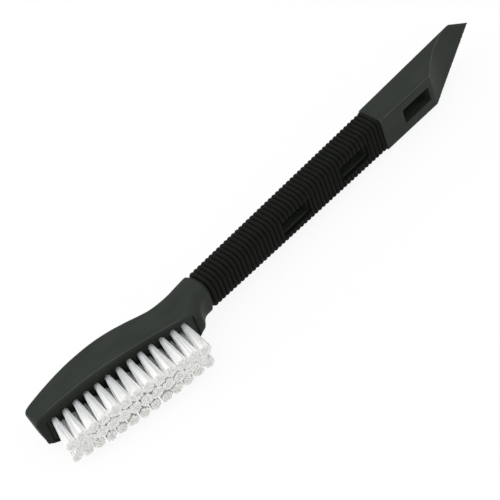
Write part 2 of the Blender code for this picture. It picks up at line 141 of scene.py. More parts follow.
# A place along the head, then a share of the named size
BACK_SHARES = (
    (0.00, 0.555), (0.05, 0.500), (0.11, 0.425), (0.17, 0.388), (0.23, 0.385), (0.285, 0.460),
    (0.355, 0.615), (0.445, 0.795), (0.54, 0.920), (0.65, 0.985), (0.74, 1.000), (0.83, 0.985),
    (0.89, 0.955), (0.935, 0.925), (0.950, 0.910), (0.963, 0.890), (0.972, 0.820), (0.979, 0.580),
    (0.987, 0.280), (0.993, 0.100),
)
WIDTH_SHARES = (
    (0.000, 0.752), (0.050, 0.735), (0.110, 0.735), (0.170, 0.765), (0.230, 0.820), (0.285, 0.880),
    (0.355, 0.935), (0.445, 0.980), (0.540, 1.000), (0.650, 0.990), (0.740, 0.952), (0.820, 0.895),
    (0.880, 0.850), (0.925, 0.810), (0.950, 0.785), (0.963, 0.760), (0.973, 0.740), (0.985, 0.640),
    (0.993, 0.530),
)
BACK_CORNER_SHARES = (
    (0.00, 0.85), (0.05, 0.66), (0.11, 0.48), (0.17, 0.36), (0.23, 0.28), (0.35, 0.22), (0.92, 0.22),
    (0.95, 0.30), (0.973, 0.50), (0.985, 0.40), (1.00, 0.15),
)
HEEL_SHARES = (
    (0.000, 0.00), (0.011, 0.02), (0.034, 0.12), (0.058, 0.38), (0.077, 0.72), (0.091, 0.95), (0.105, 1.00),
)
HEEL_CORNER_SHARES = (
    (0.000, 1.00), (0.048, 1.20), (0.091, 1.35), (0.105, 1.20), (0.120, 0.80), (0.137, 0.30), (0.160, 0.00),
)
NOSE_DROP_SHARES = ((0.935, 0.00), (0.963, 0.20), (0.985, 0.55), (1.000, 1.00))
EDGE_SHARES = (
    (0.12, 0.25), (0.20, 0.25), (0.28, 0.35), (0.36, 0.48), (0.48, 0.70), (0.58, 0.95), (0.66, 1.10),
    (0.90, 1.10), (0.963, 0.85), (0.985, 0.55), (1.00, 0.25),
)
OUTER_ROW_TUFTS = 13
COLLAR_TO_TUFTS = 16.0 * MM
TUFTS_TO_NOSE = 7.3 * MM
ROW_OFFSET_AT_ENDS = 3.6 * MM
ROW_OFFSET_AT_MIDDLE = 5.4 * MM
RECESS_MARGIN_AT_SIDE = 1.9 * MM
RECESS_MARGIN_AT_HEEL = 3.9 * MM
RECESS_MARGIN_AT_NOSE = 2.4 * MM
RECESS_CORNER = 0.6 * MM
RECESS_SIDE_STEPS = 40
TUFT_RADIUS = 1.35 * MM
STRAND_LENGTH_AT_NOSE = 15.8 * MM
STRAND_LENGTH_AT_HEEL = 17.6 * MM
LEAN_AT_NOSE = math.radians(9.0)
LEAN_AT_HEEL = math.radians(5.0)

GRIP_LENGTH = RIB_PITCH * RIB_COUNT
COLLAR_PLACE = -(GRIP_LENGTH + COLLAR_CHAMFER_LENGTH)
SLEEVE_AND_GAP = RIB_DEPTH + SLEEVE_WALL + FIT_GAP
TUFT_PITCH = (HEAD_LENGTH - COLLAR_TO_TUFTS - TUFTS_TO_NOSE) / (OUTER_ROW_TUFTS - 1)
ROW_MIDDLE = COLLAR_PLACE - (HEAD_LENGTH + COLLAR_TO_TUFTS - TUFTS_TO_NOSE) / 2
ROW_HALF_LENGTH = TUFT_PITCH * (OUTER_ROW_TUFTS - 1) / 2
BEVEL_DROP = SCRAPER_FRONT_AT_BEVEL + SCRAPER_BACK_AT_TIP - BLADE_THICKNESS
BEVEL_NEAR_LENGTH = SCRAPER_LENGTH - TIP_NEAR_SETBACK - BEVEL_START

# Finish of the moulded handle
HANDLE_VOXEL = 0.3 * MM
HANDLE_SMOOTHING_PASSES = 3
HANDLE_KEPT_SHARE = 0.45
CORNER_STEPS = 10
BEVEL_STEPS = 40
POCKET_CORNER_STEPS = 4
HOLE_SIDES = 20
HEAD_RINGS = 140
HOLE_DEPTH = 0.8 * MM
RIM_BAND_WIDTH = 1.9 * MM
RIM_CREASE = math.radians(42)
NOSE_END_SHARE = 0.993
GROOVE_WIDTH = 0.7 * MM
GROOVE_DEPTH = 0.6 * MM
# How far past the crease the painted shade on the rim band takes to reach its full strength.
RIM_SHADE_FADE = 1.8 * MM
BAND_WIDENS_FROM_SHARE = 0.20
BAND_WIDENS_TO_SHARE = 0.66
BAND_HEIGHT_AT_HEEL = 0.65 * MM
BAND_HEIGHT = 2.9 * MM
BEAD_RADIUS = 0.24 * MM
BEAD_SUNK = 0.12 * MM
BEAD_SIDES = 8
BEAD_STEPS = 90
BEAD_TAPER_STEPS = 8
BEAD_START_SHARE = 0.165
BEAD_END_SHARE = 0.955
NOSE_SKEW = 0.15
NOSE_SKEW_START = 78.0 * MM
NOSE_SKEW_END = 84.0 * MM
TIP_EXTRA = 1.0 * MM

# Colours and finish of the plastic. A noise is its scale, in cells to a metre, and its detail. A bump is its
# strength and its depth. Convex and concave are the values of Pointiness between which a colour turns into a
# painted highlight or a painted shade.
NOISE_LIMITS = (0.3, 0.7)
PLASTIC_DARK = (0.0242, 0.0294, 0.0242)
PLASTIC_LIGHT = (0.0326, 0.0382, 0.0322)
# The bead's colours, lighter than the plastic's: a painted highlight along the creases.
BEAD_HIGHLIGHT_DARK = (0.036, 0.042, 0.036)
BEAD_HIGHLIGHT_LIGHT = (0.047, 0.054, 0.047)
# A painted highlight on convex edges.
PLASTIC_EDGE_HIGHLIGHT = (0.110, 0.118, 0.110)
# A painted shade in concave creases.
PLASTIC_CREVICE_SHADE = (0.006, 0.008, 0.006)
# A painted shade on the band along the rim, next to the bristles, and how much of it is laid on at most.
PLASTIC_RIM_SHADE = (0.009, 0.0115, 0.0085)
RIM_SHADE_SHARE = 0.75
PLASTIC_CONVEX = (0.51, 0.60)
PLASTIC_CONCAVE = (0.485, 0.44)
PLASTIC_FLOW = (0.3, 1, 1)
PLASTIC_MOTTLE = (220, 4)
PLASTIC_GRAIN = (5200, 4)
PLASTIC_BUMP = (0.25, 0.02 * MM)
PLASTIC_ROUGHNESS = (0.50, 0.60)
PLASTIC_SPECULAR = 0.08

# Finish of the sleeve
RIB_STEPS = 10
RIB_ROUNDNESS = 0.85
SLEEVE_CORNER_STEPS = 7
SLEEVE_SHARP_ANGLE = math.radians(50)
RUBBER_DARK = (0.0050, 0.0058, 0.0046)
RUBBER_LIGHT = (0.0082, 0.0092, 0.0076)
# A painted highlight on the ribs' crests.
RUBBER_CREST_HIGHLIGHT = (0.016, 0.0175, 0.0150)
# A painted shade in the grooves between the ribs.
RUBBER_GROOVE_SHADE = (0.0004, 0.0005, 0.0004)
RUBBER_CONVEX = (0.50, 0.56)
RUBBER_CONCAVE = (0.49, 0.42)
RUBBER_DUST = (420, 5)
RUBBER_GRAIN = (3800, 3)
RUBBER_BUMP = (0.35, 0.03 * MM)
RUBBER_ROUGHNESS = (0.55, 0.72)
RUBBER_SPECULAR = 0.05

# Finish of the bristles. A step is a share of the way from the floor to the cut tips.
BRISTLE_SEED = 7
FILAMENTS_PER_TUFT = 86
FILAMENT_RADIUS = 0.15 * MM
FILAMENT_SIDES = 6
FILAMENT_STEPS = (-0.05, 0.0, 0.3, 0.62, 0.97, 1.0)
FILAMENT_END_SHARE = 0.6
ROOT_FILL_SHARE = 0.90
TIP_SPREAD_SHARES = {"near": 2.25, "mid": 2.2, "far": 1.8}
TIP_JITTER = 0.28 * MM
LENGTH_JITTER = 0.28 * MM
BOW = 0.16 * MM
BUNDLE_SIDES = 26
BUNDLE_FILL_SHARE = 0.93
BUNDLE_RELIEF = 0.05
BUNDLE_RELIEF_AT_TIPS = 0.16
# A step, then a share of the radius
BUNDLE_STEPS = ((-0.05, 1.0), (0.0, 1.0), (0.3, 1.0), (0.6, 1.0), (0.88, 1.0), (0.985, 0.99))
BUNDLE_END_SHARES = (0.75, 0.5, 0.25)
BUNDLE_END_JITTER = 0.30 * MM
GOLDEN_ANGLE = math.pi * (3 - math.sqrt(5))
TUFT_SHARP_ANGLE = math.radians(65)
# The nylon's colour from root to cut tip. The lightening toward the tips is painted light, standing for light
# that passes through the nylon.
NYLON_ROOT = (0.74, 0.75, 0.765)
NYLON_TIP_TINT_AND_LIGHT = (0.98, 0.98, 0.95)
NYLON_FADE = (0.30, 0.92)
NYLON_SHADES = (0.95, 1.01)
NYLON_ROUGHNESS = 0.42
NYLON_SPECULAR = 0.35
NYLON_SUBSURFACE = 0.4
NYLON_SCATTER = 1.2 * MM

# The photograph's camera
CAMERA_PLACE = Vector((-0.482929, -0.643593, 0.729885))
CAMERA_RIGHT = Vector((0.676596, -0.692780, -0.249548))
CAMERA_UP = Vector((0.633534, 0.374944, 0.676795))
SENSOR = 36.0
LENS = 187.15
HALF_PIXEL_SHIFT = 0.001
CLIP_START = 0.05

# Studio, with the lamps' power in watts
FLOOR_HALF_SIZE = 3.0
FLOOR_WHITE = (0.93, 0.93, 0.93, 1)
WORLD_FILL = 0.89
KEY_PLACE = Vector((-0.55, 0.25, 0.95))
KEY_SIZE = 0.9
KEY_POWER = 2.5
SIDE_PLACE = Vector((-1.0, 0.25, 0.15))
SIDE_SIZE = 0.5
SIDE_POWER = 3.2
FLOOR_GLOW_SHARE = 0.9


def between(start, end, share):
    return start + (end - start) * share


def smooth_step(start, end, value):
    share = min(max((value - start) / (end - start), 0), 1)
    return share * share * (3 - 2 * share)


def read_curve(points, place):
    """The value at a place on a smooth curve through the points, flat past its ends."""
    if place <= points[0][0]:
        return points[0][1]
    if place >= points[-1][0]:
        return points[-1][1]
    after = next(i for i, (at, _) in enumerate(points) if at > place)
    low, high = after - 1, after

    def slope(i):
        first, last = max(i - 1, 0), min(i + 1, len(points) - 1)
        return (points[last][1] - points[first][1]) / (points[last][0] - points[first][0])

    width = points[high][0] - points[low][0]
    t = (place - points[low][0]) / width
    start, end = points[low][1], points[high][1]
    return (
        start * (2 * t**3 - 3 * t**2 + 1)
        + width * slope(low) * (t**3 - 2 * t**2 + t)
        + end * (3 * t**2 - 2 * t**3)
        + width * slope(high) * (t**3 - t**2)
    )


def section(x, back, front, half_width, back_corner, front_corner, steps, band_width=None, crease=0.0):
    """A closed ring across the handle: a box whose front corners may be bands that start with a crease."""
    width = front_corner if band_width is None else band_width
    half = []
    for step in range(steps + 1):
        turn = step / steps * math.pi / 2
        y = back - back_corner * (1 - math.cos(turn))
        half.append((y, half_width - back_corner * (1 - math.sin(turn))))
    for step in range(steps + 1):
        turn = between(crease, math.pi / 2, step / steps)
        down = (math.sin(turn) - math.sin(crease)) / (1 - math.sin(crease))
        inward = 1 - math.cos(turn) / math.cos(crease)
        half.append((front_corner * (1 - down) - front, half_width - width * inward))
    return [Vector((x, y, z)) for y, z in half] + [Vector((x, y, -z)) for y, z in reversed(half)]


def grip_section(x, inset, head_corner, tail_corner, steps):
    share = -x / GRIP_LENGTH
    half_height = between(GRIP_TAIL_HALF_HEIGHT, GRIP_HEAD_HALF_HEIGHT, share) - inset
    half_width = between(GRIP_TAIL_HALF_WIDTH, GRIP_HEAD_HALF_WIDTH, share) - inset
    corner = between(tail_corner, head_corner, share)
    return section(x, half_height, half_height, half_width, corner, corner, steps)


def core_section(x, growth, steps):
    return grip_section(
        x, SLEEVE_AND_GAP - growth, CORE_HEAD_CORNER + growth, CORE_TAIL_CORNER + growth, steps
    )


def scraper_section(x):
    share = x / SCRAPER_LENGTH
    back = between(SCRAPER_BACK_AT_GRIP, SCRAPER_BACK_AT_TIP, share)
    front = between(SCRAPER_FRONT_AT_GRIP, SCRAPER_FRONT_AT_BEVEL, x / BEVEL_START)
    corner = between(SCRAPER_CORNER_AT_GRIP, SCRAPER_CORNER_AT_TIP, share)
    return section(x, back, front, SCRAPER_HALF_WIDTH, corner, corner, CORNER_STEPS)


def rim_depth(x):
    """Distance of the rim's plane from the middle line, toward the bristles."""
    return RIM_DEPTH_AT_NECK + RIM_SLOPE_SHARE * (x - COLLAR_PLACE)


def head_section(share):
    x = COLLAR_PLACE - share * HEAD_LENGTH
    heel = read_curve(HEEL_SHARES, share)
    nose_drop = NOSE_EDGE_DROP * read_curve(NOSE_DROP_SHARES, share)
    front = between(GRIP_HEAD_HALF_HEIGHT, rim_depth(x), heel) - nose_drop
    rim_corner = HEAD_EDGE_RADIUS * read_curve(EDGE_SHARES, share)
    neck_share = read_curve(HEEL_CORNER_SHARES, share)
    ring = section(
        x,
        HEAD_BACK_HEIGHT * read_curve(BACK_SHARES, share),
        front,
        HEAD_HALF_WIDTH * read_curve(WIDTH_SHARES, share),
        NECK_CORNER * read_curve(BACK_CORNER_SHARES, share),
        between(rim_corner, NECK_CORNER, neck_share),
        CORNER_STEPS,
        between(min(rim_corner, RIM_BAND_WIDTH), NECK_CORNER, neck_share),
        RIM_CREASE * (1 - min(neck_share, 1)),
    )
    skew = NOSE_SKEW * smooth_step(NOSE_SKEW_START, NOSE_SKEW_END, COLLAR_PLACE - x)
    return [Vector((point.x - skew * point.z, point.y, point.z)) for point in ring]


def collar_edge_section():
    return section(
        -GRIP_LENGTH,
        HEAD_BACK_HEIGHT * BACK_SHARES[0][1] - COLLAR_CHAMFER_DROP,
        GRIP_HEAD_HALF_HEIGHT - COLLAR_CHAMFER_DROP,
        HEAD_HALF_WIDTH * WIDTH_SHARES[0][1] - COLLAR_CHAMFER_DROP,
        NECK_CORNER * BACK_CORNER_SHARES[0][1],
        NECK_CORNER,
        CORNER_STEPS,
    )


def skin(bm, rows):
    """Joins each row of vertices to the next with faces, and returns the faces."""
    faces = []
    for row, following in zip(rows, rows[1:]):
        for i in range(len(row)):
            faces.append(bm.faces.new((row[i - 1], row[i], following[i], following[i - 1])))
    return faces


def circle_point(centre, radius, side, sides):
    """One of the equally spaced points on a level circle."""
    angle = 2 * math.pi * side / sides
    return centre + Vector((math.cos(angle), math.sin(angle), 0)) * radius


def finished_mesh(name, bm):
    mesh = bpy.data.meshes.new(name)
    bm.to_mesh(mesh)
    bm.free()
    return mesh


def ring_mesh(name, rings):
    """A closed mesh through rings that have the same number of points."""
    bm = bmesh.new()
    rows = [[bm.verts.new(point) for point in ring] for ring in rings]
    skin(bm, rows)
    bm.faces.new(rows[0])
    bm.faces.new(rows[-1])
    bmesh.ops.recalc_face_normals(bm, faces=bm.faces)
    return finished_mesh(name, bm)


def put(name, mesh, collection):
    obj = bpy.data.objects.new(name, mesh)
    collection.objects.link(obj)
    return obj


def cut(obj, cutter):
    boolean = obj.modifiers.new("cut_" + cutter.name, "BOOLEAN")
    boolean.operation = "DIFFERENCE"
    boolean.solver = "EXACT"
    boolean.object = cutter


def bake_modifiers(obj):
    """Gives the object the mesh that its modifiers make, and removes them."""
    graph = bpy.context.evaluated_depsgraph_get()
    mesh = bpy.data.meshes.new_from_object(obj.evaluated_get(graph))
    obj.modifiers.clear()
    obj.data = mesh


def tip_cutter(cutters):
    """Cuts the scraper to its point, which is TIP_EXTRA too long because the smoothing wears it off."""
    far = Vector((BEVEL_START, -SCRAPER_HALF_WIDTH))
    point = Vector((SCRAPER_LENGTH + TIP_EXTRA, TIP_POINT_TO_NEAR_SIDE))
    near = Vector((SCRAPER_LENGTH - TIP_NEAR_SETBACK, SCRAPER_HALF_WIDTH))
    before = far + (far - point).normalized() * CUTTER_OVERRUN
    past = near + (near - point).normalized() * CUTTER_OVERRUN
    outline = (
        before,
        point,
        past,
        Vector((SCRAPER_LENGTH + 2 * CUTTER_OVERRUN, past.y)),
        Vector((SCRAPER_LENGTH + 2 * CUTTER_OVERRUN, before.y)),
    )
    reach = SCRAPER_BACK_AT_TIP + SCRAPER_FRONT_AT_BEVEL
    rings = [[Vector((p.x, y, p.y)) for p in outline] for y in (reach, -reach)]
    return put("tip_cutter", ring_mesh("tip_cutter", rings), cutters)


def bevel_near_edge(along):
    """The curved boundary of the bevel on the near side, from its start to the cut end."""
    y = BEVEL_DROP * read_curve(BEVEL_NEAR_EDGE_SHARES, along) - SCRAPER_FRONT_AT_BEVEL
    return Vector((BEVEL_START + BEVEL_NEAR_LENGTH * along, y, SCRAPER_HALF_WIDTH))


def bevel_cutter(cutters):
    """Cuts the hollow bevel: rulings run from its curved near edge to the straight edge on the far side."""
    far_start = Vector((BEVEL_START, -SCRAPER_FRONT_AT_BEVEL, -SCRAPER_HALF_WIDTH))
    far_end = Vector((SCRAPER_LENGTH, BEVEL_DROP - SCRAPER_FRONT_AT_BEVEL, TIP_POINT_TO_NEAR_SIDE))
    outside = -SCRAPER_FRONT_AT_BEVEL - 3 * CUTTER_OVERRUN
    rings = []
    for step in range(BEVEL_STEPS + 1):
        along = step / BEVEL_STEPS
        near = bevel_near_edge(along)
        far = far_start.lerp(far_end, along)
        reach = (near - far).normalized() * CUTTER_OVERRUN
        start, end = near + reach, far - reach
        rings.append([start, end, Vector((end.x, outside, end.z)), Vector((start.x, outside, start.z))])
    slope = (far_end - far_start).normalized() * CUTTER_OVERRUN
    level = Vector((CUTTER_OVERRUN, 0, 0))
    rings.insert(0, [point - slope for point in rings[0]])
    rings.append([point + level for point in rings[-1]])
    return put("bevel_cutter", ring_mesh("bevel_cutter", rings), cutters)


def pocket_cutter(name, place, floor, cutters):
    reach = GRIP_HEAD_HALF_HEIGHT + SCRAPER_FRONT_AT_BEVEL
    bm = bmesh.new()
    bmesh.ops.create_cube(bm, size=1.0)
    bmesh.ops.scale(bm, vec=(POCKET_LENGTH, floor + reach, POCKET_WIDTH), verts=bm.verts)
    bmesh.ops.translate(bm, vec=(place, (floor - reach) / 2, 0), verts=bm.verts)
    upright = [e for e in bm.edges if abs(e.verts[0].co.y - e.verts[1].co.y) > POCKET_CORNER]
    bmesh.ops.bevel(
        bm, geom=upright, offset=POCKET_CORNER, segments=POCKET_CORNER_STEPS, profile=0.5, affect="EDGES"
    )
    return put(name, finished_mesh(name, bm), cutters)


def row_offset(x):
    """How far an outer row of tufts lies from the middle row: the rows bulge where the head is widest."""
    share = (x - ROW_MIDDLE) / ROW_HALF_LENGTH
    return between(ROW_OFFSET_AT_MIDDLE, ROW_OFFSET_AT_ENDS, share**2)


def floor_point(x, z):
    return Vector((x, RECESS_DEPTH - rim_depth(x), z))


def floor_normal():
    return Vector((-RIM_SLOPE_SHARE, -1, 0)).normalized()


def recess_half_width(x):
    return row_offset(x) + TUFT_RADIUS + RECESS_MARGIN_AT_SIDE - FIT_GAP


def recess_corner(x, inset, start):
    """A rounded corner of the recess on its near side: a quarter turn from the start angle."""
    z = recess_half_width(x) - RECESS_CORNER - inset
    turns = [start + step / CORNER_STEPS * math.pi / 2 for step in range(CORNER_STEPS + 1)]
    return [(x + RECESS_CORNER * math.cos(turn), z + RECESS_CORNER * math.sin(turn)) for turn in turns]


def recess_ring(inset):
    """The recess on its floor, or a line inside it: bulging sides and straight ends with rounded corners."""
    heel = ROW_MIDDLE + ROW_HALF_LENGTH + TUFT_RADIUS + RECESS_MARGIN_AT_HEEL - RECESS_CORNER - inset
    nose = ROW_MIDDLE - ROW_HALF_LENGTH - TUFT_RADIUS - RECESS_MARGIN_AT_NOSE + RECESS_CORNER + inset
    places = [between(heel, nose, step / RECESS_SIDE_STEPS) for step in range(1, RECESS_SIDE_STEPS)]
    half = recess_corner(heel, inset, 0) + [(x, recess_half_width(x) - inset) for x in places]
    half += recess_corner(nose, inset, math.pi / 2)
    return [floor_point(x, z) for x, z in half] + [floor_point(x, -z) for x, z in reversed(half)]


def recess_cutter(cutters):
    """Cuts from the tufts' floor out past the rim."""
    outward = floor_normal() * (RECESS_DEPTH + CUTTER_OVERRUN)
    floor_ring = recess_ring(0)
    mesh = ring_mesh("recess_cutter", [floor_ring, [point + outward for point in floor_ring]])
    return put("recess_cutter", mesh, cutters)


def groove_cutter(cutters):
    """Cuts the narrow groove that runs round the floor at the foot of the recess's wall."""
    up, down = floor_normal() * RECESS_DEPTH / 2, floor_normal() * -GROOVE_DEPTH
    wall, inner = recess_ring(0), recess_ring(GROOVE_WIDTH)
    bm = bmesh.new()
    rows = []
    for ring, height in ((wall, up), (wall, down), (inner, down), (inner, up)):
        rows.append([bm.verts.new(point + height) for point in ring])
    skin(bm, rows + rows[:1])
    bmesh.ops.recalc_face_normals(bm, faces=bm.faces)
    return put("groove_cutter", finished_mesh("groove_cutter", bm), cutters)


def tuft_places():
    """The name and the foot of every tuft, row by row from the nose to the heel."""
    places = []
    for row, side in (("near", 1), ("mid", 0), ("far", -1)):
        count = OUTER_ROW_TUFTS if side else OUTER_ROW_TUFTS - 1
        for i in range(count):
            x = ROW_MIDDLE + TUFT_PITCH * (i - (count - 1) / 2)
            places.append((f"tuft_{row}_{i + 1:02d}", floor_point(x, side * row_offset(x))))
    return places


def tuft_axes():
    """Turns a tuft's own frame, Z out of the floor and X toward the nose, into the handle's."""
    outward = floor_normal()
    to_nose = Vector((outward.y, -outward.x, 0))
    return Matrix((to_nose, outward.cross(to_nose), outward)).transposed()


def holes_cutter(cutters):
    axes = tuft_axes().to_4x4()
    bm = bmesh.new()
    for _, foot in tuft_places():
        bmesh.ops.create_cone(
            bm,
            cap_ends=True,
            segments=HOLE_SIDES,
            radius1=TUFT_RADIUS + FIT_GAP,
            radius2=TUFT_RADIUS + FIT_GAP,
            depth=2 * HOLE_DEPTH,
            matrix=Matrix.Translation(foot) @ axes,
        )
    return put("holes_cutter", finished_mesh("holes_cutter", bm), cutters)


def noise_node(tree, coordinates, scale, detail):
    noise = tree.nodes.new("ShaderNodeTexNoise")
    noise.inputs["Scale"].default_value = scale
    noise.inputs["Detail"].default_value = detail
    tree.links.new(coordinates, noise.inputs["Vector"])
    return noise


def ramp_between(tree, factor, low, high, limits=NOISE_LIMITS):
    """A colour ramp from one colour to another, between two values of its factor."""
    ramp = tree.nodes.new("ShaderNodeValToRGB")
    ramp.color_ramp.elements[0].position, ramp.color_ramp.elements[1].position = limits
    ramp.color_ramp.elements[0].color = (*low, 1)
    ramp.color_ramp.elements[1].color = (*high, 1)
    tree.links.new(factor, ramp.inputs["Fac"])
    return ramp.outputs["Color"]


def past_crease(tree, place):
    """How far a point lies past the crease of the head's side, toward the rim, in metres: the mask of the rim
    band's painted shade.
    """
    parts = tree.nodes.new("ShaderNodeSeparateXYZ")
    tree.links.new(place, parts.inputs["Vector"])
    band = tree.nodes.new("ShaderNodeMapRange")
    band.inputs["From Min"].default_value = COLLAR_PLACE - BAND_WIDENS_FROM_SHARE * HEAD_LENGTH
    band.inputs["From Max"].default_value = COLLAR_PLACE - BAND_WIDENS_TO_SHARE * HEAD_LENGTH
    band.inputs["To Min"].default_value = BAND_HEIGHT_AT_HEEL
    band.inputs["To Max"].default_value = BAND_HEIGHT
    tree.links.new(parts.outputs["X"], band.inputs["Value"])
    plane = tree.nodes.new("ShaderNodeVectorMath")
    plane.operation = "DOT_PRODUCT"
    plane.inputs[1].default_value = (-RIM_SLOPE_SHARE, -1, 0)
    tree.links.new(place, plane.inputs[0])
    shifted = tree.nodes.new("ShaderNodeMath")
    shifted.inputs[1].default_value = RIM_SLOPE_SHARE * COLLAR_PLACE - RIM_DEPTH_AT_NECK
    tree.links.new(plane.outputs["Value"], shifted.inputs[0])
    past = tree.nodes.new("ShaderNodeMath")
    tree.links.new(shifted.outputs["Value"], past.inputs[0])
    tree.links.new(band.outputs["Result"], past.inputs[1])
    return past.outputs["Value"]


def mix_by_range(tree, value, limits, colour, other, most=0.5):
    """Turns a colour into the other one, up to the given share, as a value goes between its limits."""
    share = tree.nodes.new("ShaderNodeMapRange")
    share.inputs["From Min"].default_value, share.inputs["From Max"].default_value = limits
    share.inputs["To Max"].default_value = most
    mixed = tree.nodes.new("ShaderNodeMixRGB")
    mixed.inputs["Color2"].default_value = (*other, 1)
    tree.links.new(value, share.inputs["Value"])
    tree.links.new(share.outputs["Result"], mixed.inputs["Fac"])
    tree.links.new(colour, mixed.inputs["Color1"])
    return mixed.outputs["Color"]


def spread_value(tree, factor, values):
    """Maps a noise from its usual middle range onto a range of values."""
    mapped = tree.nodes.new("ShaderNodeMapRange")
    mapped.inputs["From Min"].default_value, mapped.inputs["From Max"].default_value = NOISE_LIMITS
    mapped.inputs["To Min"].default_value, mapped.inputs["To Max"].default_value = values
    tree.links.new(factor, mapped.inputs["Value"])
    return mapped.outputs["Result"]


def start_material(name):
    made = bpy.data.materials.new(name)
    made.use_nodes = True
    tree = made.node_tree
    shader = tree.nodes["Principled BSDF"]
    place = tree.nodes.new("ShaderNodeTexCoord").outputs["Object"]
    return made, tree, shader, place


def add_bump(tree, shader, height, strength, distance):
    bump = tree.nodes.new("ShaderNodeBump")
    bump.inputs["Strength"].default_value = strength
    bump.inputs["Distance"].default_value = distance
    tree.links.new(height, bump.inputs["Height"])
    tree.links.new(bump.outputs["Normal"], shader.inputs["Normal"])


def plastic_material(name, low, high):
    """Grey-green moulded plastic: faint marks along the flow and a fine sparked texture. A painted highlight
    on convex edges, and painted shade in concave creases and on the band along the rim.
    """
    made, tree, shader, place = start_material(name)
    stretched = tree.nodes.new("ShaderNodeMapping")
    stretched.inputs["Scale"].default_value = PLASTIC_FLOW
    tree.links.new(place, stretched.inputs["Vector"])
    mottle = noise_node(tree, stretched.outputs["Vector"], *PLASTIC_MOTTLE)
    grain = noise_node(tree, place, *PLASTIC_GRAIN)
    colour = ramp_between(tree, mottle.outputs["Fac"], low, high)
    pointed = tree.nodes.new("ShaderNodeNewGeometry").outputs["Pointiness"]
    # A painted highlight on convex edges.
    edge_highlit = mix_by_range(tree, pointed, PLASTIC_CONVEX, colour, PLASTIC_EDGE_HIGHLIGHT)
    # A painted shade in concave creases.
    crevice_shaded = mix_by_range(tree, pointed, PLASTIC_CONCAVE, edge_highlit, PLASTIC_CREVICE_SHADE)
    # A painted shade on the band along the rim, growing darker toward the bristles.
    depth = past_crease(tree, place)
    rim = mix_by_range(tree, depth, (0, RIM_SHADE_FADE), crevice_shaded, PLASTIC_RIM_SHADE, RIM_SHADE_SHARE)
    tree.links.new(rim, shader.inputs["Base Color"])
    tree.links.new(spread_value(tree, mottle.outputs["Fac"], PLASTIC_ROUGHNESS), shader.inputs["Roughness"])
    shader.inputs["Specular IOR Level"].default_value = PLASTIC_SPECULAR
    add_bump(tree, shader, grain.outputs["Fac"], *PLASTIC_BUMP)
    return made


def rubber_material():
    """Black rubber, a little dusty, with a painted highlight on its crests and a painted shade in its
    grooves.
    """
    made, tree, shader, place = start_material("ribbed_black_rubber")
    dust = noise_node(tree, place, *RUBBER_DUST)
    grain = noise_node(tree, place, *RUBBER_GRAIN)
    colour = ramp_between(tree, dust.outputs["Fac"], RUBBER_DARK, RUBBER_LIGHT)
    pointed = tree.nodes.new("ShaderNodeNewGeometry").outputs["Pointiness"]
    # A painted highlight on the crests.
    crests = mix_by_range(tree, pointed, RUBBER_CONVEX, colour, RUBBER_CREST_HIGHLIGHT)
    # A painted shade in the grooves.
    grooves = mix_by_range(tree, pointed, RUBBER_CONCAVE, crests, RUBBER_GROOVE_SHADE)
    tree.links.new(grooves, shader.inputs["Base Color"])
    tree.links.new(spread_value(tree, dust.outputs["Fac"], RUBBER_ROUGHNESS), shader.inputs["Roughness"])
    shader.inputs["Specular IOR Level"].default_value = RUBBER_SPECULAR
    add_bump(tree, shader, grain.outputs["Fac"], *RUBBER_BUMP)
    return made


def nylon_material():
    """White nylon filaments, each a tone of its own: greyer and cooler at the root, lighter and faintly
    yellow toward the cut tips, where the lightening is painted light for light that passes through the nylon.
    """
    made, tree, shader, place = start_material("white_nylon_filament")
    height = tree.nodes.new("ShaderNodeSeparateXYZ")
    tree.links.new(place, height.inputs["Vector"])
    along = tree.nodes.new("ShaderNodeMapRange")
    along.inputs["From Max"].default_value = STRAND_LENGTH_AT_HEEL
    tree.links.new(height.outputs["Z"], along.inputs["Value"])
    # Painted light: lighter toward the cut tips.
    tone = ramp_between(tree, along.outputs["Result"], NYLON_ROOT, NYLON_TIP_TINT_AND_LIGHT, NYLON_FADE)
    each = tree.nodes.new("ShaderNodeNewGeometry").outputs["Random Per Island"]
    shade = tree.nodes.new("ShaderNodeMapRange")
    shade.inputs["To Min"].default_value, shade.inputs["To Max"].default_value = NYLON_SHADES
    tree.links.new(each, shade.inputs["Value"])
    mixed = tree.nodes.new("ShaderNodeVectorMath")
    mixed.operation = "SCALE"
    tree.links.new(tone, mixed.inputs[0])
    tree.links.new(shade.outputs["Result"], mixed.inputs["Scale"])
    tree.links.new(mixed.outputs["Vector"], shader.inputs["Base Color"])
    shader.inputs["Roughness"].default_value = NYLON_ROUGHNESS
    shader.inputs["Specular IOR Level"].default_value = NYLON_SPECULAR
    shader.inputs["Subsurface Weight"].default_value = NYLON_SUBSURFACE
    shader.inputs["Subsurface Radius"].default_value = (1.0, 1.0, 1.0)
    shader.inputs["Subsurface Scale"].default_value = NYLON_SCATTER
    return made


def crease_point(share, side):
    """Where the side face of the head turns into the band along the rim."""
    point = head_section(share)[CORNER_STEPS + 1 if side > 0 else -CORNER_STEPS - 2]
    return Vector((point.x, point.y, point.z - side * BEAD_SUNK))


def scraper_edge_path():
    """Along the scraper's edge between its near and bristle sides, then up the near edge of the bevel."""
    path = []
    for i in range(1, BEAD_STEPS):
        x = BEVEL_START * i / BEAD_STEPS
        middle_of_corner = scraper_section(x)[CORNER_STEPS + 1 + CORNER_STEPS // 2]
        path.append(middle_of_corner + Vector((0, BEAD_SUNK, -BEAD_SUNK)))
    for i in range(BEAD_STEPS):
        path.append(bevel_near_edge(i / BEAD_STEPS) + Vector((0, BEAD_SUNK, -2 * BEAD_SUNK)))
    return path


